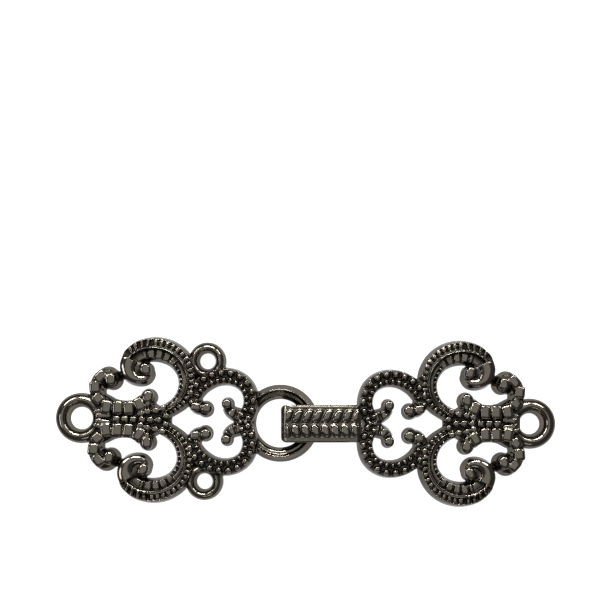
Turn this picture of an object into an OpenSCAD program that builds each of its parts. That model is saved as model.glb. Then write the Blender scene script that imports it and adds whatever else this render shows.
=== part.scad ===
// Hook and eye clasp: two pierced scroll castings, shown fastened.
// Millimetres, Z up. Each half is drawn in its own plane: the end sewing loop at the
// origin, the middle of the clasp towards +X and the flat back at Z = 0. It is then
// laid in the clasp, where both halves lean up to the hook in the middle.

/* [Casting] */
// Height of the casting from its flat back to its highest bead
casting_height = 2.6; // [2.2:0.1:3.2]
// Length of one notch of the row along the large scrolls
notch_pitch = 0.92; // [0.9:0.02:1.4]
// Length of one bead of the rows round the heart
bead_pitch = 0.96; // [0.9:0.02:1.4]
// Length of one lobe along the neck
lobe_pitch = 1.3; // [1.2:0.02:1.8]
// Length of the hook half's scrolls against those of the eye half
hook_plate_stretch = 0.985; // [0.97:0.005:1]
// How far the hook half's scrolls sit closer to their end loop
hook_plate_shift = 0.25; // [0:0.05:0.3]

/* [Sewing loops] */
// Diameter of the hole in the eye half's end loop
eye_end_hole = 3.1; // [2.6:0.1:3.4]
// Diameter of the hole in the hook half's end loop
hook_end_hole = 2.9; // [2.6:0.1:3.4]
// Outer diameter of both end loops
end_loop_diameter = 7.14; // [6.6:0.02:7.6]
// Height of the end loops at their ridge
end_loop_height = 1.9; // [1.4:0.1:2.4]
// Diameter of the hole in each side loop
side_hole = 2.16; // [1.8:0.02:2.4]
// Outer diameter of the side loops
side_loop_diameter = 5.3; // [5:0.1:5.6]
// Distance of the side loops from the end loop, along the clasp
side_loop_along = 17.6; // [17.2:0.1:18]
// Distance of the side loops from the middle line
side_loop_out = 8.42; // [8.2:0.02:8.6]

/* [Eye ring] */
// Distance from the end loop to the centre of the eye ring
ring_along = 28; // [27.6:0.1:28.4]
// Diameter of the hole in the eye ring
ring_hole = 6.76; // [6.4:0.02:7]
// Outer diameter of the eye ring
ring_diameter = 10.84; // [10.4:0.02:11.2]
// Height of the eye ring at its ridge
ring_height = 1.5; // [1.2:0.1:1.6]

/* [Hook] */
// Distance from the end loop to the tip of the tongue
tongue_reach = 35; // [34:0.1:36]
// Width of the tongue and of the leg folded under it
tongue_width = 5.2; // [4.4:0.1:5.4]
// Height of the tongue's underside above the plate's back
tongue_underside = 1.1; // [1:0.05:1.3]
// Thickness of the tongue under its lobes
tongue_thickness = 1.1; // [0.9:0.05:1.3]
// Thickness of the leg that returns under the ring
leg_thickness = 0.9; // [0.7:0.05:1]
// Length of the leg from the tip of the tongue
leg_length = 7; // [6:0.1:7.4]
// Thickness of the wall at the fold
fold_wall = 1.2; // [1:0.1:1.4]
// Number of ribs in each row on the tongue
tongue_ribs = 7; // [6:1:8]

/* [Lie of the clasp] */
// Distance of the eye half's end loop from the middle of the clasp
eye_end_from_middle = 31.42; // [31:0.02:32]
// Distance of the hook half's end loop from the middle of the clasp
hook_end_from_middle = 31.56; // [31:0.02:32]
// How far the eye half's end loop lies to the far side
eye_end_offset = 0.5; // [0:0.1:1]
// How far the eye half is turned about its end loop
eye_turn = 1.5; // [0:0.1:2.5]
// How far the hook half lies to the near side
hook_offset = 0.3; // [0:0.1:0.6]
// How far the eye half leans up towards the ring
eye_lean = 1.95; // [1.8:0.05:2.1]
// How far the hook half leans up towards the tip
hook_lean = 3.05; // [2.9:0.05:3.4]

/* [Hidden] */
gunmetal = [0.23, 0.22, 0.20];
end_radius = end_loop_diameter / 2;
eye_lift = end_radius * sin(eye_lean);
hook_lift = end_radius * sin(hook_lean);
table_steps = 6;
ring_sides = 40;
loop_sides = 24;
dome_sides = 10;

// Middle line of the large scroll, from the heart's point up, round the C and into
// its ball. Columns: along, out, half width, height, smoothness (0 beaded, 1 plain).
large_scroll = [
    [11.5, 1.0, 1.1, 0.86, 0],
    [12.85, 1.78, 1.15, 0.88, 0],
    [14.0, 2.75, 1.3, 0.9, 0],
    [14.75, 4.1, 1.42, 0.93, 0],
    [14.95, 5.6, 1.48, 0.95, 0],
    [14.6, 7.15, 1.6, 0.97, 0],
    [13.6, 8.6, 1.7, 1, 0],
    [12.1, 9.55, 1.78, 1, 0],
    [10.3, 9.92, 1.8, 1, 0],
    [8.5, 9.65, 1.72, 1, 0],
    [7.15, 8.75, 1.6, 0.98, 0.4],
    [6.5, 7.4, 1.36, 0.96, 1],
    [6.8, 6.25, 1.18, 0.92, 1],
    [7.75, 5.65, 1.05, 0.86, 1],
    [8.75, 5.85, 1.02, 0.84, 1]];

// Middle line of the small outer curl, from the end loop up to its ball
small_scroll = [
    [1.7, 2.2, 1.1, 0.8, 0],
    [2.0, 3.2, 1.18, 0.86, 0],
    [2.02, 4.4, 1.18, 0.9, 0],
    [2.3, 5.4, 1.2, 0.94, 0.6],
    [2.9, 5.95, 1.25, 0.94, 1]];

// Middle line of the heart, from its point by the ring over the top to its left curl
heart_scroll = [
    [22.9, 0.2, 1.3, 0.84, 0],
    [23.65, 1.6, 1.25, 0.9, 0],
    [23.85, 3.1, 1.16, 0.94, 0],
    [23.35, 4.75, 1.18, 0.96, 0],
    [22.2, 5.85, 1.24, 0.96, 0],
    [20.6, 6.35, 1.28, 0.96, 0],
    [18.75, 6.1, 1.3, 0.96, 0],
    [17.1, 5.15, 1.3, 0.94, 0],
    [16.05, 3.9, 1.26, 0.92, 0],
    [15.85, 2.3, 1.14, 0.86, 0.6]];

// Middle line of the heart's inner curl
inner_scroll = [
    [23.0, 0.85, 1.1, 0.8, 0],
    [21.9, 0.95, 1.12, 0.82, 0],
    [21.1, 1.4, 0.98, 0.84, 0.4],
    [20.62, 2.1, 0.92, 0.86, 1]];

// Middle line of the neck, from the end loop to the heart's point
neck = [
    [1.9, 0, 2.75, 0.8, 0],
    [3.3, 0, 3.5, 0.84, 0],
    [5.0, 0, 2.8, 0.88, 0],
    [6.5, 0, 2.66, 0.9, 0],
    [8.0, 0, 2.95, 0.9, 0],
    [9.5, 0, 2.8, 0.88, 0],
    [11.2, 0, 1.9, 0.84, 0],
    [12.8, 0, 0.35, 0.8, 0]];

// Cross sections. Columns: across from the outer edge (-1) to the inner edge (1),
// height on a bead, height between two beads.
banded = [
    [-1, -0.1, -0.1], [-0.94, 0.5, 0.5], [-0.64, 0.94, 0.76], [-0.32, 0.94, 0.8],
    [-0.2, 1, 1], [0.1, 0.9, 0.9], [0.66, 0.82, 0.64], [0.95, 0.4, 0.4], [1, -0.1, -0.1]];
two_rows = [
    [-1, -0.1, -0.1], [-0.95, 0.45, 0.45], [-0.66, 0.82, 0.76],
    [-0.36, 1, 0.78], [-0.06, 0.8, 0.76], [0.28, 1, 0.78], [0.62, 0.8, 0.74],
    [0.95, 0.42, 0.42], [1, -0.1, -0.1]];
one_row = [
    [-1, -0.1, -0.1], [-0.95, 0.45, 0.45], [-0.55, 0.84, 0.8],
    [0, 1, 0.84], [0.55, 0.84, 0.8], [0.95, 0.45, 0.45], [1, -0.1, -0.1]];
gadroons = [
    [-1, -0.1, -0.1], [-0.96, 0.5, 0.5], [-0.82, 0.9, 0.7], [-0.56, 1, 0.76],
    [-0.24, 0.82, 0.8], [0, 0.92, 0.84], [0.24, 0.82, 0.8],
    [0.56, 1, 0.76], [0.82, 0.9, 0.7], [0.96, 0.5, 0.5], [1, -0.1, -0.1]];

// Balls that end the curls. Columns: along, out, radius, height.
balls = [
    [9.2, 6.5, 1.1, 0.96],
    [8.9, 5.92, 1.14, 0.88],
    [8.6, 7.3, 1.35, 0.62],
    [3.65, 5.75, 1.66, 0.9],
    [4.3, 5.5, 1.54, 0.98],
    [8.4, 2.75, 1.0, 0.86],
    [9.5, 3.15, 1.3, 0.96],
    [16.35, 1.75, 1.2, 0.84],
    [17.5, 1.7, 1.2, 0.92],
    [20.6, 2.5, 0.96, 0.92]];

// Small beads of the diamond field at the waist. Columns: along, out.
waist_beads = [
    [9.3, 0], [10.3, 0], [11.3, 0], [9.8, 0.9], [10.8, 0.9], [9.8, -0.9], [10.8, -0.9]];

// Rows of a table joined by a smooth curve
function row(t, i) = t[max(0, min(len(t) - 1, i))];
function between(a, b, c, d, f) =
    b + f * 0.5 * (c - a + f * (2 * a - 5 * b + 4 * c - d + f * (3 * (b - c) + d - a)));
function curve(t) = concat(
    [for (i = [0 : len(t) - 2], k = [0 : table_steps - 1])
        between(row(t, i - 1), row(t, i), row(t, i + 1), row(t, i + 2), k / table_steps)],
    [t[len(t) - 1]]);
function gap(p, i) = norm([p[i][0] - p[i - 1][0], p[i][1] - p[i - 1][1]]);
function lengths(p, i = 1, done = [0]) =
    i == len(p) ? done : lengths(p, i + 1, concat(done, [done[i - 1] + gap(p, i)]));
function column(p, s, k) = [for (i = [0 : len(p) - 1]) [s[i], p[i][k]]];

// Rings of points along a table's curve, two to a bead, each one a cross section
function swept(t, section, pitch) =
    let (
        p = curve(t),
        s = lengths(p),
        total = s[len(s) - 1],
        count = 2 * round(total / pitch),
        cols = [for (k = [0 : 4]) column(p, s, k)])
    [for (i = [0 : count])
        let (
            d = total * i / count,
            e = 0.02,
            v = [for (k = [0 : 4]) lookup(d, cols[k])],
            a = [for (k = [0 : 1]) lookup(d + e, cols[k]) - lookup(d - e, cols[k])],
            side = [a[1], -a[0]] / norm(a))
        [for (q = section)
            let (
                beaded = q[1 + i % 2],
                plain = abs(q[0]) == 1 ? q[1] : sqrt(1 - q[0] * q[0]),
                z = casting_height * v[3] * (beaded + v[4] * (plain - beaded)))
            [v[0] - side[0] * q[0] * v[2], v[1] - side[1] * q[0] * v[2], z]]];

// Solid through a list of rings with the same number of points
module loft(rings) {
    n = len(rings[0]);
    m = len(rings);
    polyhedron(
        points = [for (r = rings, p = r) p],
        faces = concat(
            [for (i = [0 : m - 2], j = [0 : n - 1])
                each [[i * n + j, i * n + (j + 1) % n, (i + 1) * n + (j + 1) % n],
                      [i * n + j, (i + 1) * n + (j + 1) % n, (i + 1) * n + j]]],
            [[for (j = [n - 1 : -1 : 0]) j]],
            [[for (j = [0 : n - 1]) (m - 1) * n + j]]));
}

module scroll(t, section, pitch) {
    loft(swept(t, section, pitch));
}

module dome(radius, height, sides) {
    rotate_extrude($fn = sides)
        polygon([[0, -0.1], [radius, -0.1], [0.95 * radius, 0.5 * height],
                 [0.6 * radius, 0.9 * height], [0, height]]);
}

// Ring of cast wire: steep outside, a thin ridge and a hollow bevel down to the hole
module cast_ring(outer, hole, height, sides) {
    wall = outer - hole;
    ridge = hole + 0.54 * wall;
    rotate_extrude($fn = sides)
        polygon([[hole - 0.08, -0.1], [outer, -0.1], [outer - 0.06 * wall, 0.45 * height],
                 [outer - 0.26 * wall, 0.86 * height], [ridge, height],
                 [hole + 0.32 * wall, 0.72 * height], [hole - 0.08, 0.58 * height]]);
}

module ornament_side() {
    scroll(large_scroll, banded, notch_pitch);
    scroll(small_scroll, one_row, bead_pitch);
    scroll(heart_scroll, two_rows, bead_pitch);
    scroll(inner_scroll, one_row, bead_pitch);
    for (b = balls)
        translate([b[0], b[1], 0])
            dome(b[2], b[3] * casting_height, dome_sides);
    translate([0, 0, -0.1])
        linear_extrude(0.7 * casting_height)
            polygon([[14.2, 1.8], [16.6, 3.4], [16.6, 5.6], [14.6, 6.4]]);
}

// The pierced plate that both halves share, still without its holes
module ornament() {
    ornament_side();
    mirror([0, 1, 0])
        ornament_side();
    scroll(neck, gadroons, lobe_pitch);
    translate([22.9, 0, 0])
        dome(1.2, 0.84 * casting_height, dome_sides);
    for (b = waist_beads)
        translate([b[0], b[1], 1])
            cylinder(h = 0.96 * casting_height - 1, r1 = 0.6, r2 = 0.24, $fn = 6);
}

// Relief with everything below the flat back ground away
module ground_flat() {
    intersection() {
        union()
            children();
        translate([-10, -20, 0])
            cube([60, 40, 10]);
    }
}

// Joins what it is given into a single casting, at its own size
module one_casting() {
    resize([0, 0, 0])
        union()
            children();
}

module eye_half() {
    difference() {
        one_casting()
            ground_flat() {
                ornament();
                cast_ring(end_radius, eye_end_hole / 2, end_loop_height, loop_sides);
                translate([ring_along, 0, 0])
                    cast_ring(ring_diameter / 2, ring_hole / 2, ring_height, ring_sides);
                for (s = [-1, 1])
                    translate([side_loop_along, s * side_loop_out, 0])
                        cast_ring(side_loop_diameter / 2, side_hole / 2, end_loop_height, loop_sides);
            }
        translate([0, 0, -1])
            cylinder(h = casting_height + 2, d = eye_end_hole, $fn = 64);
        translate([ring_along, 0, -1])
            cylinder(h = casting_height + 2, d = ring_hole, $fn = 64);
        for (s = [-1, 1])
            translate([side_loop_along, s * side_loop_out, -1])
                cylinder(h = casting_height + 2, d = side_hole, $fn = 64);
    }
}

// One row of slanted ribs on the tongue
rib_start = 24.6;
rib_end = tongue_reach - 0.75;
rib_slant = 0.7;
function rib_rows() =
    [for (i = [0 : 2 * tongue_ribs])
        let (
            x = rib_start + (rib_end - rib_slant - rib_start) * i / (2 * tongue_ribs),
            high = i % 2 == 1 ? 1 : 0.45,
            top = tongue_underside + tongue_thickness,
            out = tongue_width / 2 - 0.45,
            rise = casting_height - top)
        [[x + rib_slant, -0.1, top - 0.33], [x + rib_slant, 0.1, top + 0.5 * rise],
         [x + 0.5 * rib_slant, 0.45 * out, top + rise * high],
         [x + 0.12, 0.8 * out, top + 0.8 * rise * high], [x, out, top - 0.31]]];

// Side view of the tongue, the fold at its tip and the leg back under it. The leg
// lies flat on the table, so its lines lean back by the lean of the hook half.
leg_line = function(x, up) (up - hook_lift - x * sin(hook_lean)) / cos(hook_lean);
fold_radius = 0.9;
slot_radius = (tongue_underside * cos(hook_lean) + hook_lift - leg_thickness
    + (tongue_reach - fold_wall) * sin(hook_lean)) / (1 + cos(hook_lean) + sin(hook_lean));
slot_end = tongue_reach - fold_wall - slot_radius;
leg_end = tongue_reach - leg_length + leg_thickness / 2;
function arc(cx, cz, r, from, to, n) =
    [for (i = [0 : n]) [cx + r * cos(from + (to - from) * i / n), cz + r * sin(from + (to - from) * i / n)]];

module tongue_side_view() {
    top = tongue_underside + tongue_thickness;
    heel = tongue_reach - fold_radius;
    polygon(concat(
        [[23.2, tongue_underside], [23.2, top]],
        arc(heel, top - fold_radius, fold_radius, 90, 0, 6),
        arc(heel, leg_line(heel, fold_radius), fold_radius, 0, -90 - hook_lean, 6),
        arc(leg_end, leg_line(leg_end, leg_thickness / 2), leg_thickness / 2,
            270 - hook_lean, 90 - hook_lean, 8),
        arc(slot_end, tongue_underside - slot_radius, slot_radius, -90 - hook_lean, 90, 10)));
}

module tongue_outline() {
    corner = 0.7;
    hull_length = tongue_reach - 20;
    translate([20, 0])
        square([hull_length - corner, tongue_width / 2]);
    translate([20, 0])
        square([hull_length, tongue_width / 2 - corner]);
    translate([tongue_reach - corner, tongue_width / 2 - corner])
        circle(corner, $fn = 32);
}

module tongue() {
    intersection() {
        translate([0, tongue_width, 0])
            rotate([90, 0, 0])
                linear_extrude(2 * tongue_width)
                    tongue_side_view();
        translate([0, 0, -5])
            linear_extrude(10)
                union() {
                    tongue_outline();
                    mirror([0, 1])
                        tongue_outline();
                }
    }
}

module hook_half() {
    difference() {
        one_casting() {
            ground_flat() {
                translate([-hook_plate_shift, 0, 0])
                    scale([hook_plate_stretch, 1, 1])
                        ornament();
                cast_ring(end_radius, hook_end_hole / 2, end_loop_height, loop_sides);
                loft(rib_rows());
                mirror([0, 1, 0])
                    loft(rib_rows());
            }
            tongue();
        }
        translate([0, 0, -1])
            cylinder(h = casting_height + 2, d = hook_end_hole, $fn = 64);
    }
}

module eye_in_clasp() {
    color(gunmetal)
        translate([-eye_end_from_middle, eye_end_offset, eye_lift])
            rotate([0, -eye_lean, -eye_turn])
                eye_half();
}

module hook_in_clasp() {
    color(gunmetal)
        translate([hook_end_from_middle, -hook_offset, hook_lift])
            rotate([0, 0, 180])
                rotate([0, -hook_lean, 0])
                    hook_half();
}

eye_in_clasp();  // eye_half
hook_in_clasp();  // hook_half
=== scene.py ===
"""Looks of a hook and eye clasp: two pierced castings in black nickel, fastened on a white table."""

import math

import bmesh
import bpy
import numpy as np
from mathutils import Matrix


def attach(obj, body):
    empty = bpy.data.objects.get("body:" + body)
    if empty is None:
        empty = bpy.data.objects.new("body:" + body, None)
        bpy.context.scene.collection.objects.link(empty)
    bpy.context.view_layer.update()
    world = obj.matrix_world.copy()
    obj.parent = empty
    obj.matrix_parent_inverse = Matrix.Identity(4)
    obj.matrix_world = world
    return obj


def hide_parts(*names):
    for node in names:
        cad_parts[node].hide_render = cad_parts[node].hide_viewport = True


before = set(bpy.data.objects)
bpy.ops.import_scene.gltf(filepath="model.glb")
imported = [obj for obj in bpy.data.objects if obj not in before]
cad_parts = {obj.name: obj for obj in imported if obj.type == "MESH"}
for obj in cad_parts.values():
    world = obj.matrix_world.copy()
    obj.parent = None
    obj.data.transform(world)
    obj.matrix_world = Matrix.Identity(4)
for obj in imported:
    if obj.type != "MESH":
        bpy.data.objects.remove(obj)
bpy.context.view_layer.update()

MM = 0.001

# Sizes of the casting, in millimetres
CASTING_HEIGHT = 2.6
END_RADIUS = 3.57
EYE_END_HOLE = 1.55
HOOK_END_HOLE = 1.45
END_LOOP_HEIGHT = 1.9
SIDE_LOOP = (17.6, 8.42)
SIDE_RADIUS = 2.65
SIDE_HOLE = 1.08
RING_ALONG = 28.0
RING_RADIUS = 5.42
RING_HOLE = 3.38
RING_HEIGHT = 1.5
TONGUE_REACH = 35.0
TONGUE_WIDTH = 5.2
TONGUE_UNDERSIDE = 1.1
TONGUE_THICKNESS = 1.1
LEG_THICKNESS = 0.9
LEG_LENGTH = 7.0
FOLD_WALL = 1.2
FOLD_RADIUS = 0.9
EYE_LEAN = 1.95
EYE_TURN = 1.5
HOOK_LEAN = 3.05
# Bodies start this far under the flat back, which is cut level after melting
BACK_ALLOWANCE = 0.15
TONGUE_CORNER = 0.7
PLATE_STRETCH = 0.985
PLATE_SHIFT = -0.25
EYE_END_PLACE = (-31.42, 0.5)
HOOK_END_PLACE = (31.56, -0.3)
HEART_POINT = (22.9, 0)
# Web that fills the place where the large scroll and the heart meet
WEB_CORNERS = ((14.2, 1.8), (16.6, 3.4), (16.6, 5.6), (14.6, 6.4))
WEB_HEIGHT = 0.7
# The flat back is cut level up to here. Beyond it the ring and the tongue keep their own underside.
FLAT_BACK_REACH = 24.0
HOLE_ALLOWANCE = 0.1
MOST_TRIANGLES = 190000
# Grain of the melt
VOXEL = 0.07
# The tongue's core starts low inside the heart's band and steps up to its full height
TONGUE_ROOT = 23.9
TONGUE_STEP = (25.4, 25.7)
TONGUE_STEP_HEIGHT = 0.3
HOOK_LIFT = END_RADIUS * math.sin(math.radians(HOOK_LEAN))
EYE_LIFT = END_RADIUS * math.sin(math.radians(EYE_LEAN))

# Middle lines of the cast bands of one side. Columns: along, out, half width, height
# as a share of the casting's, and smoothness from 0, with relief, to 1, plain.
LARGE_SCROLL = (
    (11.5, 1.0, 1.1, 0.86, 0), (12.85, 1.78, 1.15, 0.88, 0), (14.0, 2.75, 1.3, 0.9, 0),
    (14.75, 4.1, 1.42, 0.93, 0), (14.95, 5.6, 1.48, 0.95, 0), (14.6, 7.15, 1.6, 0.97, 0),
    (13.6, 8.6, 1.7, 1, 0), (12.1, 9.55, 1.78, 1, 0), (10.3, 9.92, 1.8, 1, 0),
    (8.5, 9.65, 1.72, 1, 0), (7.3, 8.92, 1.6, 0.98, 0), (7.0, 8.52, 1.56, 0.98, 0),
    (6.92, 8.36, 1.54, 1, 1), (6.6, 7.4, 1.46, 1, 1), (6.95, 6.3, 1.3, 1, 1),
    (7.85, 5.68, 1.06, 0.97, 1), (8.9, 5.68, 0.94, 0.9, 1), (9.5, 6.25, 0.8, 0.82, 1),
    (9.5, 6.9, 0.66, 0.78, 1))
SMALL_SCROLL = (
    (1.9, 2.0, 1.1, 0.84, 0), (2.3, 2.9, 1.14, 0.88, 0), (2.2, 4.3, 1.22, 0.9, 0),
    (2.5, 5.3, 1.26, 0.92, 0), (3.1, 5.85, 1.3, 0.92, 0))
HEART_SCROLL = (
    (22.9, 0.2, 1.3, 0.74, 0), (23.65, 1.6, 1.25, 0.9, 0), (23.85, 3.1, 1.16, 0.94, 0),
    (23.35, 4.75, 1.18, 0.96, 0), (22.2, 5.85, 1.24, 0.96, 0), (20.6, 6.35, 1.28, 0.96, 0),
    (18.75, 6.1, 1.3, 0.96, 0), (17.1, 5.15, 1.3, 0.94, 0), (16.05, 3.9, 1.26, 0.92, 0),
    (15.95, 2.75, 1.12, 0.84, 0.4), (16.35, 1.95, 1.02, 0.74, 1), (17.4, 1.65, 0.95, 0.74, 1))
INNER_SCROLL = (
    (23.0, 0.85, 1.1, 0.62, 0), (22.2, 0.9, 1.12, 0.8, 0), (21.1, 1.4, 0.98, 0.84, 0),
    (20.62, 2.1, 0.92, 0.86, 0.8))
NECK = (
    (1.9, 0, 2.75, 0.8, 0), (3.3, 0, 3.5, 0.86, 0), (5.0, 0, 2.8, 0.9, 0),
    (6.5, 0, 2.66, 0.92, 0), (8.0, 0, 2.95, 0.92, 0), (9.5, 0, 2.8, 0.9, 0),
    (11.2, 0, 1.9, 0.86, 0), (12.8, 0, 0.35, 0.8, 0))
TONGUE = (
    (24.3, 0, 2.6, 0.94, 0), (25.2, 0, 2.6, 1.06, 0), (33.4, 0, 2.6, 1.06, 0), (34.3, 0, 2.6, 0.98, 0))

# Rows of cast pads on a band. Columns: name, across from -1 at the outer edge to 1, half width,
# pitch, share of the pitch that a pad fills, slant, height, squareness, and the stretch of the
# band that the row covers.
LARGE_ROWS = (
    ("Notch", -0.47, 0.22, 0.7, 0.84, 0.1, 0.4, 3.4, 1.0, 13.4),
    ("Long rib", -0.42, 0.32, 0.76, 0.66, -0.3, 0.46, 3.5, 13.4, 16.5),
    ("Inner rib", 0.43, 0.37, 1.3, 0.84, 0.1, 0.34, 5.0, 9.1, 14.9),
    ("Smooth strip", 0.23, 0.19, 18.0, 1.0, 0.0, 0.38, 6.0, 0.0, 9.3),
    ("Inner tick", 0.6, 0.17, 0.84, 0.62, 0.0, 0.4, 3.0, 1.0, 9.3))
SMALL_ROWS = (("Pad", 0.0, 0.7, 1.15, 0.8, 0.0, 0.3, 3.0, 0.0, 9.0),)
HEART_ROWS = (
    ("Outer pearl", -0.33, 0.38, 1.2, 0.78, 0.0, 0.5, 2.5, 0.0, 30.0),
    ("Inner pearl", 0.43, 0.33, 1.02, 0.76, 0.0, 0.44, 2.5, 0.0, 30.0))
TONGUE_ROWS = (
    ("Left leaf", 0.37, 0.39, 1.38, 0.94, 0.56, 0.3, 2.4, 0.0, 10.4),
    ("Right leaf", -0.39, 0.38, 1.38, 0.94, -1.1, 0.3, 2.4, 0.0, 10.4))

# Heights across a band as shares of its own, from the outer edge (-1) to the inner
LARGE_SECTION = (
    (-1, 0.86), (-0.84, 0.9), (-0.72, 0.88), (-0.66, 0.76), (-0.3, 0.76), (-0.26, 0.88), (-0.2, 0.94),
    (-0.13, 0.99), (-0.05, 1.03), (0.01, 1.0), (0.05, 0.82), (0.08, 0.72), (0.4, 0.72), (0.76, 0.72),
    (0.83, 0.74), (1, 0.74))
COMMA_SECTION = (
    (-1, 0.74), (-0.84, 0.84), (-0.66, 0.91), (-0.4, 0.97), (-0.12, 1.0), (0.15, 0.99), (0.4, 0.95),
    (0.65, 0.89), (0.85, 0.82), (1, 0.76))
HEART_SECTION = (
    (-1, 0.86), (-0.8, 0.88), (-0.7, 0.82), (-0.4, 0.8), (0, 0.8), (0.4, 0.8), (0.7, 0.8), (0.8, 0.84),
    (1, 0.82))
FIELD_SECTION = ((-1, 0.76), (-0.5, 0.8), (0, 0.78), (0.5, 0.8), (1, 0.76))
BALL_SECTION = ((-1, 0.7), (-0.6, 0.92), (0, 1.0), (0.6, 0.92), (1, 0.7))
TONGUE_SECTION = (
    (-1, 0.82), (-0.86, 0.825), (-0.76, 0.81), (-0.4, 0.8), (0, 0.79), (0.4, 0.8), (0.76, 0.81),
    (0.86, 0.835), (1, 0.83))

# Low round bosses that the curls end in. Columns: along, out, radius, height as a share.
BOSSES = (
    (8.35, 7.1, 1.3, 0.84), (9.1, 7.0, 1.05, 0.88), (3.65, 5.75, 1.66, 0.7), (4.3, 5.5, 1.5, 0.76),
    (8.4, 2.6, 0.9, 0.66), (9.5, 3.15, 1.26, 0.78),
    (17.5, 1.7, 1.2, 0.76), (20.6, 2.5, 0.96, 0.8))

# Cast pads with flat tops. Columns: along, out, half length, half width, turn in degrees,
# height as a share, half depth.
PADS = (
    (3.8, 1.6, 0.79, 1.02, -10, 0.98, 0.6), (5.42, 1.56, 0.77, 1.02, 0, 1.0, 0.6),
    (6.98, 1.56, 0.75, 1.02, 4, 1.0, 0.6), (8.42, 2.1, 0.74, 1.0, 28, 1.0, 0.6),
    (2.62, 2.78, 0.78, 0.78, 45, 0.98, 0.55), (2.15, 4.32, 0.8, 0.88, 5, 1.0, 0.55),
    (2.85, 5.8, 0.72, 0.96, -42, 1.0, 0.55), (3.4, 0.44, 1.15, 0.36, 6, 0.92, 0.45),
    (2.95, 1.12, 1.0, 0.3, 16, 0.9, 0.45),
    (16.3, 1.98, 0.68, 0.58, -6, 0.95, 0.5))
MIDDLE_PADS = (
    (5.28, 0, 0.53, 0.44, 0, 0.94, 0.5), (6.46, 0, 0.52, 0.44, 0, 0.96, 0.5),
    (7.64, 0, 0.5, 0.44, 0, 0.95, 0.5))

# Round pearls and domes, in the same columns
PEARLS = (
    (8.64, 0.82, 0.52, 0.44, 0, 0.97, 0.5), (9.63, 1.12, 0.52, 0.46, 15, 0.98, 0.5),
    (10.75, 1.3, 0.54, 0.46, 10, 0.98, 0.5), (11.75, 1.64, 0.52, 0.46, 30, 0.97, 0.5),
    (12.22, 0.58, 0.5, 0.42, 20, 0.95, 0.5), (4.31, 5.45, 1.0, 0.82, 100, 1.0, 0.9),
    (9.58, 3.2, 1.0, 0.78, 82, 1.0, 0.8), (9.66, 2.3, 0.62, 0.36, 86, 0.98, 0.5),
    (9.14, 7.0, 0.95, 0.74, 115, 1.0, 0.7),
    (17.76, 1.78, 0.8, 0.76, 0, 0.99, 0.8), (20.6, 2.5, 0.7, 0.7, 0, 0.96, 0.7))
MIDDLE_PEARLS = (
    (22.55, 0, 0.3, 0.3, 0, 0.84, 0.4), (23.25, 0, 0.3, 0.3, 0, 0.84, 0.4),
    (8.9, 0, 0.5, 0.42, 0, 0.98, 0.5), (10.05, 0, 0.54, 0.46, 0, 0.99, 0.5),
    (11.15, 0, 0.52, 0.46, 0, 0.98, 0.5))


def to_linear(code):
    """sRGB hex to linear colour."""
    shares = [int(code[i:i + 2], 16) / 255 for i in (1, 3, 5)]
    return tuple(c / 12.92 if c <= 0.04045 else ((c + 0.055) / 1.055) ** 2.4 for c in shares) + (1.0,)


def add(tree, kind, sockets=None, **settings):
    """Adds a node to a tree, sets its settings, and sets or links its inputs."""
    node = tree.nodes.new(kind)
    for key, value in settings.items():
        setattr(node, key, value)
    for key, value in (sockets or {}).items():
        if isinstance(value, bpy.types.Node):
            value = next(s for s in value.outputs if s.enabled)
        if isinstance(value, bpy.types.NodeSocket):
            tree.links.new(value, node.inputs[key])
        else:
            node.inputs[key].default_value = value
    return node


MATH = "ShaderNodeMath"
ROW_CROWN = 0.7
PAD_COLUMNS = ("half_length", "half_width", "turn_degrees", "height", "half_depth")


def new_tree(name, numbers):
    """Geometry node tree with a geometry input, the named numbers and a geometry output."""
    tree = bpy.data.node_groups.new(name, "GeometryNodeTree")
    tree.interface.new_socket("Geometry", in_out="OUTPUT", socket_type="NodeSocketGeometry")
    tree.interface.new_socket("Geometry", in_out="INPUT", socket_type="NodeSocketGeometry")
    for key, value in numbers.items():
        kind = {int: "NodeSocketInt", float: "NodeSocketFloat"}.get(type(value), "NodeSocketMaterial")
        socket = tree.interface.new_socket(key, in_out="INPUT", socket_type=kind)
        if not isinstance(value, bpy.types.Material):
            socket.default_value = value
    return tree, add(tree, "NodeGroupInput").outputs


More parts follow.
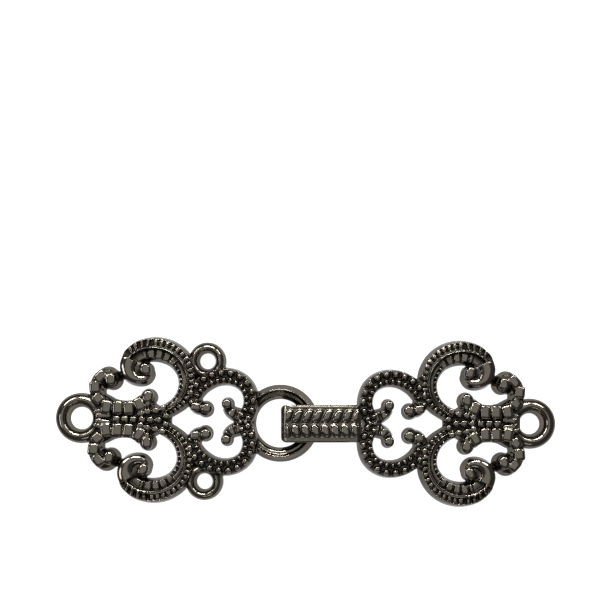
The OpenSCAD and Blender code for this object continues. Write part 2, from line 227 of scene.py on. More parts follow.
def pad_row_group():
    """Node group for one row of raised pads that follows a band. It gives their height at a
    point from its place across and along the band."""
    tree = bpy.data.node_groups.new("Row of pads", "GeometryNodeTree")
    tree.interface.new_socket("Height", in_out="OUTPUT", socket_type="NodeSocketFloat")
    for key in ("Across", "Along", "Row across", "Row half width", "Pitch", "Fill", "Slant",
                "Rise", "Squareness", "From", "To", "Seed"):
        tree.interface.new_socket(key, in_out="INPUT", socket_type="NodeSocketFloat")
    size = add(tree, "NodeGroupInput").outputs
    lean = add(tree, MATH, {0: size["Slant"], 1: size["Across"], 2: size["Along"]},
               operation="MULTIPLY_ADD")
    count = add(tree, MATH, {0: lean, 1: size["Pitch"]}, operation="DIVIDE")
    share = add(tree, MATH, {0: count}, operation="FRACT")
    along = add(tree, MATH, {0: share, 1: 2.0, 2: -1.0}, operation="MULTIPLY_ADD")
    along = add(tree, MATH, {0: along, 1: size["Fill"]}, operation="DIVIDE")
    off = add(tree, MATH, {0: size["Across"], 1: size["Row across"]}, operation="SUBTRACT")
    across = add(tree, MATH, {0: off, 1: size["Row half width"]}, operation="DIVIDE")
    powers = []
    for part in (along, across):
        plus = add(tree, MATH, {0: part}, operation="ABSOLUTE")
        powers.append(add(tree, MATH, {0: plus, 1: size["Squareness"]}, operation="POWER"))
    both = add(tree, MATH, {0: powers[0], 1: powers[1]}, operation="ADD")
    both = add(tree, MATH, {0: both, 1: 1.0}, operation="MINIMUM")
    # Low powers round the crown, high ones leave it flat
    crown = add(tree, MATH, {0: size["Squareness"], 1: ROW_CROWN}, operation="MULTIPLY")
    both = add(tree, MATH, {0: both, 1: crown}, operation="POWER")
    bump = add(tree, MATH, {0: 1.0, 1: both}, operation="SUBTRACT")
    number = add(tree, MATH, {0: count}, operation="FLOOR")
    uneven = add(tree, "FunctionNodeRandomValue",
                 {2: 0.82, 3: 1.12, "ID": number, "Seed": size["Seed"]}, data_type="FLOAT")
    after = add(tree, MATH, {0: size["Along"], 1: size["From"]}, operation="GREATER_THAN")
    before = add(tree, MATH, {0: size["Along"], 1: size["To"]}, operation="LESS_THAN")
    for factor in (size["Rise"], uneven.outputs[1], after, before):
        bump = add(tree, MATH, {0: bump, 1: factor}, operation="MULTIPLY")
    add(tree, "NodeGroupOutput", {0: bump})
    return tree


def band_tree(name, section, plain_section, rows, material):
    """Geometry node tree for a cast band that follows a line: a closed body with a flat back,
    a drafted wall, a shaped top and its rows of pads."""
    numbers = {"Casting height": CASTING_HEIGHT, "Step": 0.07, "Points round": 128,
               "Back": -BACK_ALLOWANCE, "Draft": 0.5, "Metal": material}
    for row in rows:
        for key, value in zip(("across", "half width", "pitch", "fill", "slant", "rise",
                               "squareness", "from", "to"), row[1:]):
            numbers[f"{row[0]} {key}"] = float(value)
    tree, size = new_tree(name, numbers)
    line = add(tree, "GeometryNodeMeshToCurve", {0: size["Geometry"]})
    line = add(tree, "GeometryNodeCurveSplineType", {0: line}, spline_type="CATMULL_ROM")
    line = add(tree, "GeometryNodeResampleCurve", {0: line, "Length": size["Step"]}, mode="LENGTH")
    for key, kind, source in (
            ("centre", "FLOAT_VECTOR", add(tree, "GeometryNodeInputPosition")),
            ("travel", "FLOAT_VECTOR", add(tree, "GeometryNodeInputTangent")),
            ("along", "FLOAT", add(tree, "GeometryNodeSplineParameter").outputs["Length"])):
        line = add(tree, "GeometryNodeStoreNamedAttribute", {0: line, "Name": key, "Value": source},
                   data_type=kind, domain="POINT")
    profile = add(tree, "GeometryNodeCurvePrimitiveCircle", {"Resolution": size["Points round"]})
    turn = add(tree, MATH, {0: add(tree, "GeometryNodeInputIndex"), 1: size["Points round"]},
               operation="DIVIDE")
    profile = add(tree, "GeometryNodeStoreNamedAttribute", {0: profile, "Name": "turn", "Value": turn},
                  data_type="FLOAT", domain="POINT")
    body = add(tree, "GeometryNodeCurveToMesh",
               {"Curve": line, "Profile Curve": profile, "Fill Caps": True})
    read = {}
    for key, kind in (("centre", "FLOAT_VECTOR"), ("travel", "FLOAT_VECTOR"), ("along", "FLOAT"),
                      ("turn", "FLOAT"), ("half_width", "FLOAT"), ("height", "FLOAT"),
                      ("plain", "FLOAT")):
        stored = add(tree, "GeometryNodeInputNamedAttribute", {"Name": key}, data_type=kind)
        read[key] = stored.outputs[0]
    # The first half of the profile's turn is the top, from 1 to -1 across, the rest the back.
    fold = add(tree, MATH, {0: read["turn"], 1: 4.0, 2: -2.0}, operation="MULTIPLY_ADD")
    fold = add(tree, MATH, {0: fold}, operation="ABSOLUTE")
    across = add(tree, MATH, {0: fold, 1: 1.0}, operation="SUBTRACT")
    is_top = add(tree, MATH, {0: read["turn"], 1: 0.5001}, operation="LESS_THAN")
    share = add(tree, MATH, {0: across, 1: 0.5, 2: 0.5}, operation="MULTIPLY_ADD")
    tops = []
    for points in (section, plain_section):
        shape = add(tree, "ShaderNodeFloatCurve", {1: share})
        curve = shape.mapping.curves[0]
        shape.mapping.use_clip = False
        curve.points[0].location = ((points[0][0] + 1) / 2, points[0][1])
        curve.points[1].location = ((points[-1][0] + 1) / 2, points[-1][1])
        for place, level in points[1:-1]:
            curve.points.new((place + 1) / 2, level)
        for point in curve.points:
            point.handle_type = "AUTO_CLAMPED"
        shape.mapping.update()
        tops.append(shape)
    top = add(tree, "ShaderNodeMix", {0: read["plain"], 2: tops[0], 3: tops[1]}, data_type="FLOAT")
    top = add(tree, MATH, {0: top, 1: read["height"]}, operation="MULTIPLY")
    top = add(tree, MATH, {0: top, 1: size["Casting height"]}, operation="MULTIPLY")
    group = pad_row_group()
    relief = add(tree, MATH, {0: 1.0, 1: read["plain"]}, operation="SUBTRACT", use_clamp=True)
    for seed, row in enumerate(rows):
        pads = add(tree, "GeometryNodeGroup", node_tree=group)
        sources = {"Across": across, "Along": read["along"], "Seed": float(seed + 1)}
        for key, name_in in (("Row across", "across"), ("Row half width", "half width"),
                             ("Pitch", "pitch"), ("Fill", "fill"), ("Slant", "slant"), ("Rise", "rise"),
                             ("Squareness", "squareness"), ("From", "from"), ("To", "to")):
            sources[key] = size[f"{row[0]} {name_in}"]
        for key, source in sources.items():
            if isinstance(source, bpy.types.Node):
                source = source.outputs[0]
            if isinstance(source, float):
                pads.inputs[key].default_value = source
            else:
                tree.links.new(source, pads.inputs[key])
        top = add(tree, MATH, {0: pads, 1: relief, 2: top}, operation="MULTIPLY_ADD")
    # The wall: steep at the foot, rounded over into the top within the draft.
    edge = add(tree, MATH, {0: across}, operation="ABSOLUTE")
    edge = add(tree, MATH, {0: 1.0, 1: edge}, operation="SUBTRACT")
    edge = add(tree, MATH, {0: edge, 1: read["half_width"]}, operation="MULTIPLY")
    edge = add(tree, MATH, {0: edge, 1: size["Draft"]}, operation="DIVIDE", use_clamp=True)
    edge = add(tree, MATH, {0: 1.0, 1: edge}, operation="SUBTRACT")
    edge = add(tree, MATH, {0: edge, 1: 1.6}, operation="POWER")
    edge = add(tree, MATH, {0: 1.0, 1: edge}, operation="SUBTRACT")
    top = add(tree, MATH, {0: top, 1: edge}, operation="MULTIPLY")
    z = add(tree, "ShaderNodeMix", {0: is_top, 2: size["Back"], 3: top}, data_type="FLOAT")
    way = add(tree, "ShaderNodeSeparateXYZ", {0: read["travel"]})
    offset = add(tree, MATH, {0: across, 1: read["half_width"]}, operation="MULTIPLY")
    back_x = add(tree, MATH, {0: way.outputs["Y"], 1: -1.0}, operation="MULTIPLY")
    dx = add(tree, MATH, {0: back_x, 1: offset}, operation="MULTIPLY")
    dy = add(tree, MATH, {0: way.outputs["X"], 1: offset}, operation="MULTIPLY")
    move = add(tree, "ShaderNodeCombineXYZ", {0: dx, 1: dy, 2: z})
    place = add(tree, "ShaderNodeVectorMath", {0: read["centre"], 1: move}, operation="ADD")
    body = add(tree, "GeometryNodeSetPosition", {0: body, "Position": place})
    body = add(tree, "GeometryNodeRealizeInstances", {0: body})
    body = add(tree, "GeometryNodeSetMaterial", {0: body, "Material": size["Metal"]})
    add(tree, "NodeGroupOutput", {0: body})
    return tree


def pad_tree(name, squareness, material):
    """Geometry node tree that sets one pad on each point, with the point's own size, turn and
    height, and its foot sunk in the casting. The squareness is 2 for a round pearl."""
    tree, size = new_tree(name, {"Casting height": CASTING_HEIGHT, "Squareness": squareness,
                                 "Crown": 4.2, "Metal": material})
    points = add(tree, "GeometryNodeMeshToPoints", {0: size["Geometry"]})
    ball = add(tree, "GeometryNodeMeshIcoSphere", {"Radius": 1.0, "Subdivisions": 4})
    # Each point of the ball moves out or in to a pillow's surface.
    spot = add(tree, "GeometryNodeInputPosition")
    plus = add(tree, "ShaderNodeSeparateXYZ", {
        0: add(tree, "ShaderNodeVectorMath", {0: spot}, operation="ABSOLUTE")})
    wide = [add(tree, MATH, {0: plus.outputs[i], 1: size["Squareness"]}, operation="POWER")
            for i in (0, 1)]
    wide = add(tree, MATH, {0: wide[0], 1: wide[1]}, operation="ADD")
    share = add(tree, MATH, {0: size["Crown"], 1: size["Squareness"]}, operation="DIVIDE")
    wide = add(tree, MATH, {0: wide, 1: share}, operation="POWER")
    tall = add(tree, MATH, {0: plus.outputs[2], 1: size["Crown"]}, operation="POWER")
    both = add(tree, MATH, {0: wide, 1: tall}, operation="ADD")
    less = add(tree, MATH, {0: -1.0, 1: size["Crown"]}, operation="DIVIDE")
    reach = add(tree, MATH, {0: both, 1: less}, operation="POWER")
    spot = add(tree, "ShaderNodeVectorMath", {0: spot, "Scale": reach}, operation="SCALE")
    pad = add(tree, "GeometryNodeSetPosition", {0: ball, "Position": spot})
    read = {}
    for key in PAD_COLUMNS:
        stored = add(tree, "GeometryNodeInputNamedAttribute", {"Name": key}, data_type="FLOAT")
        read[key] = stored.outputs[0]
    crown = add(tree, MATH, {0: read["height"], 1: size["Casting height"]}, operation="MULTIPLY")
    foot = add(tree, MATH, {0: crown, 1: read["half_depth"]}, operation="SUBTRACT")
    lift = add(tree, "ShaderNodeCombineXYZ", {2: foot})
    points = add(tree, "GeometryNodeSetPosition", {0: points, "Offset": lift})
    scale = add(tree, "ShaderNodeCombineXYZ", {
        0: read["half_length"], 1: read["half_width"], 2: read["half_depth"]})
    radians = add(tree, MATH, {0: read["turn_degrees"]}, operation="RADIANS")
    turn = add(tree, "ShaderNodeCombineXYZ", {2: radians})
    set_on = add(tree, "GeometryNodeInstanceOnPoints", {
        0: points, "Instance": pad, "Scale": scale, "Rotation": turn})
    body = add(tree, "GeometryNodeRealizeInstances", {0: set_on})
    body = add(tree, "GeometryNodeSetMaterial", {0: body, "Material": size["Metal"]})
    add(tree, "NodeGroupOutput", {0: body})
    return tree


def plain_mesh(piece):
    """The mesh that an object's modifiers make. The object is removed."""
    graph = bpy.context.evaluated_depsgraph_get()
    mesh = bpy.data.meshes.new_from_object(piece.evaluated_get(graph))
    bpy.data.objects.remove(piece)
    return mesh


def grown(name, tree, points, joined, columns, **sizes):
    """Runs a node tree on a table's points and returns its plain mesh."""
    mesh = bpy.data.meshes.new(name)
    edges = [(i, i + 1) for i in range(len(points) - 1)] if joined else []
    mesh.from_pydata([(p[0], p[1], 0) for p in points], edges, [])
    for k, key in enumerate(columns):
        mesh.attributes.new(key, "FLOAT", "POINT").data.foreach_set("value", [p[2 + k] for p in points])
    piece = bpy.data.objects.new(name, mesh)
    bpy.context.scene.collection.objects.link(piece)
    modifier = piece.modifiers.new("Casting", "NODES")
    modifier.node_group = tree
    for socket in tree.interface.items_tree:
        if socket.name in sizes:
            modifier[socket.identifier] = sizes[socket.name]
        elif socket.name == "Metal":
            modifier[socket.identifier] = METAL
    return plain_mesh(piece)


def spun(name, profile, sides, centre=(0, 0)):
    """Closed ring, or closed solid where the profile starts and ends on the axis."""
    mesh = bpy.data.meshes.new(name)
    shape = bmesh.new()
    hoops = []
    for k in range(sides):
        a = 2 * math.pi * k / sides
        hoops.append([shape.verts.new((centre[0] + r * math.cos(a), centre[1] + r * math.sin(a), z))
                      for r, z in profile])
    n = len(profile)
    for k in range(sides):
        a, b = hoops[k], hoops[(k + 1) % sides]
        for i in range(n):
            shape.faces.new((a[i], b[i], b[(i + 1) % n], a[(i + 1) % n]))
    bmesh.ops.remove_doubles(shape, verts=shape.verts, dist=1e-5)
    bmesh.ops.recalc_face_normals(shape, faces=shape.faces)
    shape.to_mesh(mesh)
    shape.free()
    return mesh


def softened(points, rounds=2):
    """A given line with its corners cut, its two ends kept."""
    for _ in range(rounds):
        cut = [points[0]]
        for a, b in zip(points[:-1], points[1:]):
            cut += [tuple(0.75 * p + 0.25 * q for p, q in zip(a, b)),
                    tuple(0.25 * p + 0.75 * q for p, q in zip(a, b))]
        points = cut + [points[-1]]
    return points


def loop_profile(outer, hole, height):
    """Cut through a cast sewing loop: steep outside, round crown, rounded edge at the hole."""
    wall = outer - hole
    top = softened([
        (outer, 0), (outer - 0.02 * wall, 0.4 * height), (outer - 0.06 * wall, 0.66 * height),
        (outer - 0.14 * wall, 0.83 * height), (outer - 0.27 * wall, 0.93 * height),
        (outer - 0.4 * wall, 0.99 * height), (outer - 0.5 * wall, 1.01 * height),
        (outer - 0.6 * wall, 0.99 * height), (outer - 0.71 * wall, 0.92 * height),
        (outer - 0.81 * wall, 0.8 * height), (outer - 0.9 * wall, 0.58 * height),
        (outer - 0.97 * wall, 0.3 * height), (hole, 0.1 * height), (hole, 0)], 1)
    return [(hole, -BACK_ALLOWANCE), (outer, -BACK_ALLOWANCE)] + top


def ring_profile(outer, hole, height):
    """Cut through the eye ring: long outer slope, sharp ridge, two hollow steps to the hole."""
    wall = outer - hole
    top = softened([
        (outer, 0), (outer - 0.04 * wall, 0.14 * height), (outer - 0.28 * wall, 0.86 * height),
        (outer - 0.31 * wall, 0.95 * height), (outer - 0.35 * wall, 1.01 * height),
        (outer - 0.4 * wall, height), (outer - 0.44 * wall, 0.93 * height),
        (outer - 0.53 * wall, 0.8 * height), (outer - 0.56 * wall, 0.78 * height),
        (outer - 0.72 * wall, 0.77 * height), (outer - 0.83 * wall, 0.64 * height),
        (outer - 0.88 * wall, 0.52 * height), (hole, 0.1 * height), (hole, 0)])
    return [(hole, -BACK_ALLOWANCE), (outer, -BACK_ALLOWANCE)] + top


def boss_profile(radius, height):
    """Cut through a curl's boss, from the middle out: low top, round shoulder, drafted wall."""
    top = softened([(0.0, height), (0.5 * radius, 0.98 * height), (0.74 * radius, 0.9 * height),
                    (radius - 0.22, 0.62 * height), (radius - 0.06, 0.3 * height), (radius, 0)])
    return top + [(radius, -BACK_ALLOWANCE), (0.0, -BACK_ALLOWANCE)]


def tongue_fold():
    """The tongue's core, the fold at its tip and the leg back under it: its side view, cut to
    the plan's rounded corners."""
    lean = math.radians(HOOK_LEAN)

    def leg_line(x, up):
        return (up - HOOK_LIFT - x * math.sin(lean)) / math.cos(lean)

    slot = (TONGUE_UNDERSIDE * math.cos(lean) + HOOK_LIFT - LEG_THICKNESS
            + (TONGUE_REACH - FOLD_WALL) * math.sin(lean)) / (1 + math.cos(lean) + math.sin(lean))
    slot_end = TONGUE_REACH - FOLD_WALL - slot
    leg_end = TONGUE_REACH - LEG_LENGTH + LEG_THICKNESS / 2
    heel = TONGUE_REACH - FOLD_RADIUS
    top = TONGUE_UNDERSIDE + TONGUE_THICKNESS

    def arc(cx, cz, r, start, end, n):
        steps = [math.radians(start + (end - start) * i / n) for i in range(n + 1)]
        return [(cx + r * math.cos(a), cz + r * math.sin(a)) for a in steps]

    low = top - TONGUE_STEP_HEIGHT
    side = ([(TONGUE_ROOT, TONGUE_UNDERSIDE), (TONGUE_ROOT, low), (TONGUE_STEP[0], low),
             (TONGUE_STEP[1], top)]
            + arc(heel, top - FOLD_RADIUS, FOLD_RADIUS, 90, 0, 12)
            + arc(heel, leg_line(heel, FOLD_RADIUS), FOLD_RADIUS, 0, -90 - HOOK_LEAN, 12)
            + arc(leg_end, leg_line(leg_end, LEG_THICKNESS / 2), LEG_THICKNESS / 2,
                  270 - HOOK_LEAN, 90 - HOOK_LEAN, 12)
            + arc(slot_end, TONGUE_UNDERSIDE - slot, slot, -90 - HOOK_LEAN, 90, 16))
    corner = TONGUE_CORNER
    shape = bmesh.new()
    half = TONGUE_WIDTH / 2
    levels = [-half + corner * (1 - math.cos(math.pi / 2 * i / 6)) for i in range(7)]
    levels = levels + [-y for y in reversed(levels)]
    layers = []
    for y in levels:
        inset = max(0.0, abs(y) - (half - corner))
        reach = TONGUE_REACH - corner + math.sqrt(max(corner ** 2 - inset ** 2, 0.0))
        layers.append([shape.verts.new((min(x, reach), y, z)) for x, z in side])
    n = len(side)
    for a, b in zip(layers[:-1], layers[1:]):
        for i in range(n):
            shape.faces.new((a[i], a[(i + 1) % n], b[(i + 1) % n], b[i]))
    for layer in (layers[0], layers[-1]):
        shape.faces.new(layer)
    bmesh.ops.recalc_face_normals(shape, faces=shape.faces)
    bmesh.ops.triangulate(shape, faces=shape.faces)
    mesh = bpy.data.meshes.new("tongue_fold")
    shape.to_mesh(mesh)
    shape.free()
    return mesh


def coordinates(mesh):
    """The places of a mesh's vertices, a row for each."""
    out = np.zeros(len(mesh.vertices) * 3)
    mesh.vertices.foreach_get("co", out)
    return out.reshape(-1, 3)


def clear_hole(mesh, centre, radius):
    """Moves what reaches into a hole out to just inside its ring."""
    co = coordinates(mesh)
    arm = co[:, :2] - np.array(centre)
    far = np.linalg.norm(arm, axis=1)
    inside = far < radius
    co[inside, :2] = np.array(centre) + arm[inside] * (radius / np.maximum(far[inside], 1e-6))[:, None]
    mesh.vertices.foreach_set("co", co.ravel())


def largest_shell(mesh):
    """Deletes the small closed bubbles that melting can leave inside the metal."""
    work = bmesh.new()
    work.from_mesh(mesh)
    left = set(work.verts)
    shells = []
    while left:
        front = [left.pop()]
        shell = list(front)
        while front:
            vert = front.pop()
            near = {edge.other_vert(vert) for edge in vert.link_edges} & left
            left -= near
            front += near
            shell += near
        shells.append(shell)
    shells.sort(key=len)
    for shell in shells[:-1]:
        bmesh.ops.delete(work, geom=shell, context="VERTS")
    work.to_mesh(mesh)
    work.free()
    print(mesh.name, "bubbles deleted:", len(shells) - 1)


def cast(name, parts, voxel, most_triangles):
    """Melts overlapping closed parts into one casting with small natural fillets."""
    joined = bmesh.new()
    for mesh, matrix in parts:
        copy = mesh.copy()
        copy.transform(matrix)
        if matrix.determinant() < 0:
            copy.flip_normals()
        joined.from_mesh(copy)
        bpy.data.meshes.remove(copy)
    mesh = bpy.data.meshes.new(name)
    joined.to_mesh(mesh)
    joined.free()
    for stage in ("melt", "thin"):
        piece = bpy.data.objects.new(name, mesh)
        bpy.context.scene.collection.objects.link(piece)
        if stage == "melt":
            melt = piece.modifiers.new("Melt", "REMESH")
            melt.mode = "VOXEL"
            melt.voxel_size = voxel
            smooth = piece.modifiers.new("Smooth", "SMOOTH")
            smooth.factor = 0.5
            smooth.iterations = 2
        else:
            triangles = sum(len(f.vertices) - 2 for f in mesh.polygons)
            thin = piece.modifiers.new("Thin", "DECIMATE")
            thin.ratio = min(1.0, most_triangles / triangles)
            thin.use_collapse_triangulate = True
            print(name, "melted to", triangles, "triangles")
        mesh = plain_mesh(piece)
        if stage == "melt":
            largest_shell(mesh)
    return mesh


# Where the colour is darkened as painted shade and the plating turns rougher. A vertex counts by how far
# it faces up, by its depth in millimetres under the crests round it, and by its height against the mean
# round it, each with a start and a span. Lower places nearby pull that mean down by OPEN_DEPTH at most.
LEVEL_FROM, LEVEL_SPAN = 0.35, 0.4
DEEP_FROM, DEEP_SPAN = 0.12, 0.26
SUNK_FROM, SUNK_SPAN = 0.05, 0.06
OPEN_DEPTH = 0.3


def hollow_values(mesh, cell=0.1, reach=6):
    """How deep each level vertex lies below the casting's highest points round it, 0 to 1. Crest
    and mean are taken within reach cells of it."""
    co = coordinates(mesh)
    low = co[:, :2].min(0) - reach * cell
    place = ((co[:, :2] - low) / cell).astype(int)
    level = np.zeros(place.max(0) + reach + 2)
    np.maximum.at(level, (place[:, 0], place[:, 1]), co[:, 2])
    crest = level.copy()
    total = np.zeros(level.shape)
    spots = [(i, j) for i in range(-reach, reach + 1) for j in range(-reach, reach + 1)
             if i * i + j * j <= reach * reach]
    for spot in spots:
        moved = np.roll(level, spot, (0, 1))
        crest = np.maximum(crest, moved)
        total += np.maximum(moved, level - OPEN_DEPTH)
    mean = total / len(spots)
    facing = np.zeros(len(mesh.vertices) * 3)
    mesh.vertices.foreach_get("normal", facing)
    level_share = np.clip((facing[2::3] - LEVEL_FROM) / LEVEL_SPAN, 0, 1)
    below = np.clip((crest[place[:, 0], place[:, 1]] - co[:, 2] - DEEP_FROM) / DEEP_SPAN, 0, 1)
    sunk = np.clip((mean[place[:, 0], place[:, 1]] - co[:, 2] + SUNK_FROM) / SUNK_SPAN, 0, 1)
    return below * level_share * sunk


def black_nickel():
    """Zinc die casting plated in black nickel: a dark, slightly warm metal with a full gloss.
    The plating is rougher in hollows, where painted shade darkens its colour to near black."""
    material = bpy.data.materials.new("black_nickel_plated_zinc_casting")
    material.use_nodes = True
    tree = material.node_tree
    tree.nodes.clear()
    place = add(tree, "ShaderNodeTexCoord").outputs["Object"]
    hollow = add(tree, "ShaderNodeAttribute", attribute_name="hollow").outputs["Fac"]
    # Cloudy tint of the plating, patches about 4 mm wide
    cloud = add(tree, "ShaderNodeTexNoise", {"Vector": place, "Scale": 1 / (4 * MM), "Detail": 3.0})
    tint = add(tree, "ShaderNodeMix", {0: cloud.outputs["Fac"], 6: to_linear("#5b5d4f"),
                                       7: to_linear("#665b58")}, data_type="RGBA")
    # Painted shade: the colour darkens to near black as the hollow share rises
    painted_shade = add(tree, "ShaderNodeMapRange", {0: hollow, 1: 0.0, 2: 1.0, 3: 0.0, 4: 0.94})
    base = add(tree, "ShaderNodeMix", {0: painted_shade, 6: tint.outputs[2], 7: to_linear("#1b1917")},
               data_type="RGBA")
    # Skin of the die casting, ripples about 0.4 mm wide under the gloss
    skin = add(tree, "ShaderNodeTexNoise", {"Vector": place, "Scale": 1 / (0.4 * MM), "Detail": 2.0})
    bump = add(tree, "ShaderNodeBump", {"Height": skin.outputs["Fac"], "Strength": 0.12,
                                        "Distance": 0.02 * MM})
    rough = add(tree, "ShaderNodeMapRange", {0: skin.outputs["Fac"], 1: 0.3, 2: 0.7, 3: 0.09, 4: 0.15})
    rough = add(tree, "ShaderNodeMix", {0: hollow, 2: rough, 3: 0.42}, data_type="FLOAT")
    shader = add(tree, "ShaderNodeBsdfPrincipled", {
        "Base Color": base.outputs[2], "Metallic": 1.0, "Roughness": rough, "Normal": bump,
        "Specular Tint": to_linear("#b9b9bb")})
    add(tree, "ShaderNodeOutputMaterial", {"Surface": shader})
    return material


METAL = black_nickel()
voxel = VOXEL
same = Matrix.Identity(4)
mirrored = Matrix.Scale(-1, 4, (0, 1, 0))
trees = {
    "large": band_tree("Large scroll", LARGE_SECTION, COMMA_SECTION, LARGE_ROWS, METAL),
    "small": band_tree("Small curl", FIELD_SECTION, BALL_SECTION, (), METAL),
    "heart": band_tree("Heart band", HEART_SECTION, BALL_SECTION, HEART_ROWS, METAL),
    "inner": band_tree("Inner curl", FIELD_SECTION, BALL_SECTION, SMALL_ROWS, METAL),
    "neck": band_tree("Neck", FIELD_SECTION, BALL_SECTION, (), METAL),
    "tongue": band_tree("Tongue top", TONGUE_SECTION, BALL_SECTION, TONGUE_ROWS, METAL)}
pads = pad_tree("Square pads on points", 5.0, METAL)
pearls = pad_tree("Round pearls on points", 2.2, METAL)
BAND = ("half_width", "height", "plain")
side_parts = [
    grown("large_scroll", trees["large"], LARGE_SCROLL, True, BAND),
    grown("small_curl", trees["small"], SMALL_SCROLL, True, BAND),
    grown("heart_band", trees["heart"], HEART_SCROLL, True, BAND, Draft=0.36),
    grown("inner_curl", trees["inner"], INNER_SCROLL, True, BAND)]
side_parts += [grown("pads", pads, PADS, False, PAD_COLUMNS),
               grown("pearls", pearls, PEARLS, False, PAD_COLUMNS)]
side_parts += [spun("boss", boss_profile(r, h * CASTING_HEIGHT), 48, (x, y)) for x, y, r, h in BOSSES]
web = bmesh.new()
foot = [web.verts.new((x, y, -BACK_ALLOWANCE)) for x, y in WEB_CORNERS]
up = bmesh.ops.extrude_face_region(web, geom=[web.faces.new(foot)])
for v in up["geom"]:
    if isinstance(v, bmesh.types.BMVert):
        v.co.z = WEB_HEIGHT * CASTING_HEIGHT
bmesh.ops.recalc_face_normals(web, faces=web.faces)
web_mesh = bpy.data.meshes.new("web")
web.to_mesh(web_mesh)
web.free()
side_parts.append(web_mesh)
middle_parts = [
    grown("neck", trees["neck"], NECK, True, BAND),
    grown("middle_pads", pads, MIDDLE_PADS, False, PAD_COLUMNS),
    grown("middle_pearls", pearls, MIDDLE_PEARLS, False, PAD_COLUMNS),
    spun("heart_point", boss_profile(1.2, 0.66 * CASTING_HEIGHT), 48, HEART_POINT)]


def half(name, node, stretch, shift, holes, own_parts, turn):
    """One half of the clasp: the shared pierced plate with its own loops, ring or tongue."""
    plate = Matrix.Translation((shift, 0, 0)) @ Matrix.Diagonal((stretch, 1, 1, 1))
    parts = []
    placed = [(m, (same, mirrored)) for m in side_parts] + [(m, (same,)) for m in middle_parts]
    for mesh, flips in placed:
        for flip in flips:
            copy = mesh.copy()
            copy.transform(plate @ flip)
            if flip is mirrored:
                copy.flip_normals()
            for centre, radius in holes:
                clear_hole(copy, centre, radius + HOLE_ALLOWANCE)
            parts.append((copy, same))
    parts += [(m, same) for m in own_parts]
    mesh = cast(name, parts, voxel, MOST_TRIANGLES)
    co = coordinates(mesh)
    co[:, 2] = np.where(co[:, 0] < FLAT_BACK_REACH, np.maximum(co[:, 2], 0), co[:, 2])
    mesh.vertices.foreach_set("co", co.ravel())
    # Hollow share for the material, which paints shade there and roughens the plating
    hollow_shade_and_dullness = hollow_values(mesh)
    mesh.attributes.new("hollow", "FLOAT", "POINT").data.foreach_set("value", hollow_shade_and_dullness)
    mesh.transform(Matrix.Scale(MM, 4) @ turn)
    mesh.materials.clear()
    mesh.materials.append(METAL)
    mesh.shade_smooth()
    piece = bpy.data.objects.new(name, mesh)
    bpy.context.scene.collection.objects.link(piece)
    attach(piece, "root")
    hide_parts(node)


eye_turn = (Matrix.Translation((*EYE_END_PLACE, EYE_LIFT))
            @ Matrix.Rotation(math.radians(-EYE_TURN), 4, "Z")
            @ Matrix.Rotation(math.radians(-EYE_LEAN), 4, "Y"))
hook_turn = (Matrix.Translation((*HOOK_END_PLACE, HOOK_LIFT)) @ Matrix.Rotation(math.pi, 4, "Z")
             @ Matrix.Rotation(math.radians(-HOOK_LEAN), 4, "Y"))
eye_parts = [
    spun("eye_end_loop", loop_profile(END_RADIUS, EYE_END_HOLE, END_LOOP_HEIGHT), 128),
    spun("eye_ring", ring_profile(RING_RADIUS, RING_HOLE, RING_HEIGHT), 192, (RING_ALONG, 0))]
eye_parts += [spun("side_loop", loop_profile(SIDE_RADIUS, SIDE_HOLE, END_LOOP_HEIGHT), 96,
                   (SIDE_LOOP[0], s * SIDE_LOOP[1])) for s in (-1, 1)]
hook_parts = [
    spun("hook_end_loop", loop_profile(END_RADIUS, HOOK_END_HOLE, END_LOOP_HEIGHT), 128),
    tongue_fold()]
tongue_top = grown("tongue_top", trees["tongue"], TONGUE, True, BAND, Back=1.3, Draft=0.15)
hook_parts.append(tongue_top)
half("eye_casting", "eye_half", 1.0, 0.0,
     [((0, 0), EYE_END_HOLE), ((RING_ALONG, 0), RING_HOLE),
      (SIDE_LOOP, SIDE_HOLE), ((SIDE_LOOP[0], -SIDE_LOOP[1]), SIDE_HOLE)], eye_parts, eye_turn)
half("hook_casting", "hook_half", PLATE_STRETCH, PLATE_SHIFT, [((0, 0), HOOK_END_HOLE)],
     hook_parts, hook_turn)

# White table, much larger than the clasp
floor_mesh = bpy.data.meshes.new("table_top")
floor_mesh.from_pydata([(-2, -2, 0), (2, -2, 0), (2, 2, 0), (-2, 2, 0)], [], [(0, 1, 2, 3)])
floor = bpy.data.objects.new("table_top", floor_mesh)
bpy.context.scene.collection.objects.link(floor)
# Opal acrylic sheet lit from below, as on a photographer's light table: matt, even and white
white = bpy.data.materials.new("white_opal_acrylic_light_table")
white.use_nodes = True
for key, value in (("Base Color", to_linear("#8c8c8c")), ("Roughness", 0.9), ("Specular IOR Level", 0.1),
                   ("Emission Color", to_linear("#ffffff")), ("Emission Strength", 1.0)):
    white.node_tree.nodes["Principled BSDF"].inputs[key].default_value = value
floor_mesh.materials.append(white)
floor.location = (0, 0, -0.00002)

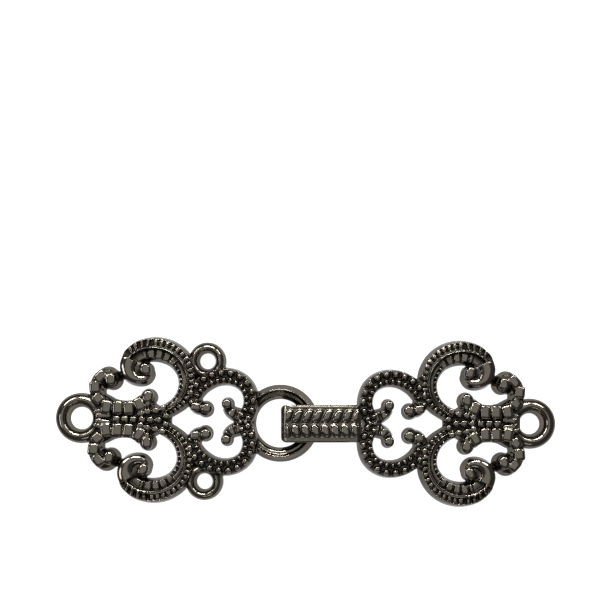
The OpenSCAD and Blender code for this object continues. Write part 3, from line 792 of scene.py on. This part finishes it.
# Photograph's view: straight down, the frame 83.9 mm wide, the clasp below its middle
VIEW_DISTANCE = 170.0
VIEW_WIDTH = 83.9
SENSOR_WIDTH = 36
CLASP_BELOW_MIDDLE = 121.5 / 600
camera_data = bpy.data.cameras.new("camera")
camera_data.sensor_width = SENSOR_WIDTH
camera_data.lens = SENSOR_WIDTH * VIEW_DISTANCE / VIEW_WIDTH
camera_data.shift_y = CLASP_BELOW_MIDDLE
camera_data.clip_start = 0.01
camera = bpy.data.objects.new("camera", camera_data)
camera.location = (-0.7 * MM, 0, (VIEW_DISTANCE + 1.5) * MM)
bpy.context.scene.collection.objects.link(camera)
bpy.context.scene.camera = camera

world = bpy.data.worlds.new("studio")
bpy.context.scene.world = world
world.use_nodes = True
world.node_tree.nodes["Background"].inputs["Color"].default_value = to_linear("#e6e6e6")
world.node_tree.nodes["Background"].inputs["Strength"].default_value = 0.22

# Soft boxes. Columns: name, azimuth from +X and elevation in degrees, distance, width and
# height in metres, power in watts.
LIGHTS = (
    ("far_box", 92, 45, 0.6, 0.3, 0.06, 5.5),
    ("far_left_box", 138, 42, 0.6, 0.24, 0.06, 1.8),
    ("left_box", 185, 42, 0.6, 0.2, 0.06, 0.5),
    ("far_right_box", 48, 42, 0.6, 0.2, 0.06, 1.4),
    ("near_box", 275, 40, 0.6, 0.3, 0.06, 0.25),
    ("ceiling_panel", 90, 84, 0.9, 0.8, 0.6, 1.45))
for name, azimuth, elevation, far, wide, high, power in LIGHTS:
    lamp = bpy.data.lights.new(name, "AREA")
    lamp.shape = "RECTANGLE"
    lamp.size = wide
    lamp.size_y = high
    lamp.energy = power
    holder = bpy.data.objects.new(name, lamp)
    a, e = math.radians(azimuth), math.radians(elevation)
    way = Matrix.Rotation(a + math.pi / 2, 4, "Z") @ Matrix.Rotation(math.pi / 2 - e, 4, "X")
    holder.matrix_world = Matrix.Translation(
        (far * math.cos(e) * math.cos(a), far * math.cos(e) * math.sin(a), far * math.sin(e))) @ way
    bpy.context.scene.collection.objects.link(holder)

bpy.context.scene.view_settings.view_transform = "Standard"
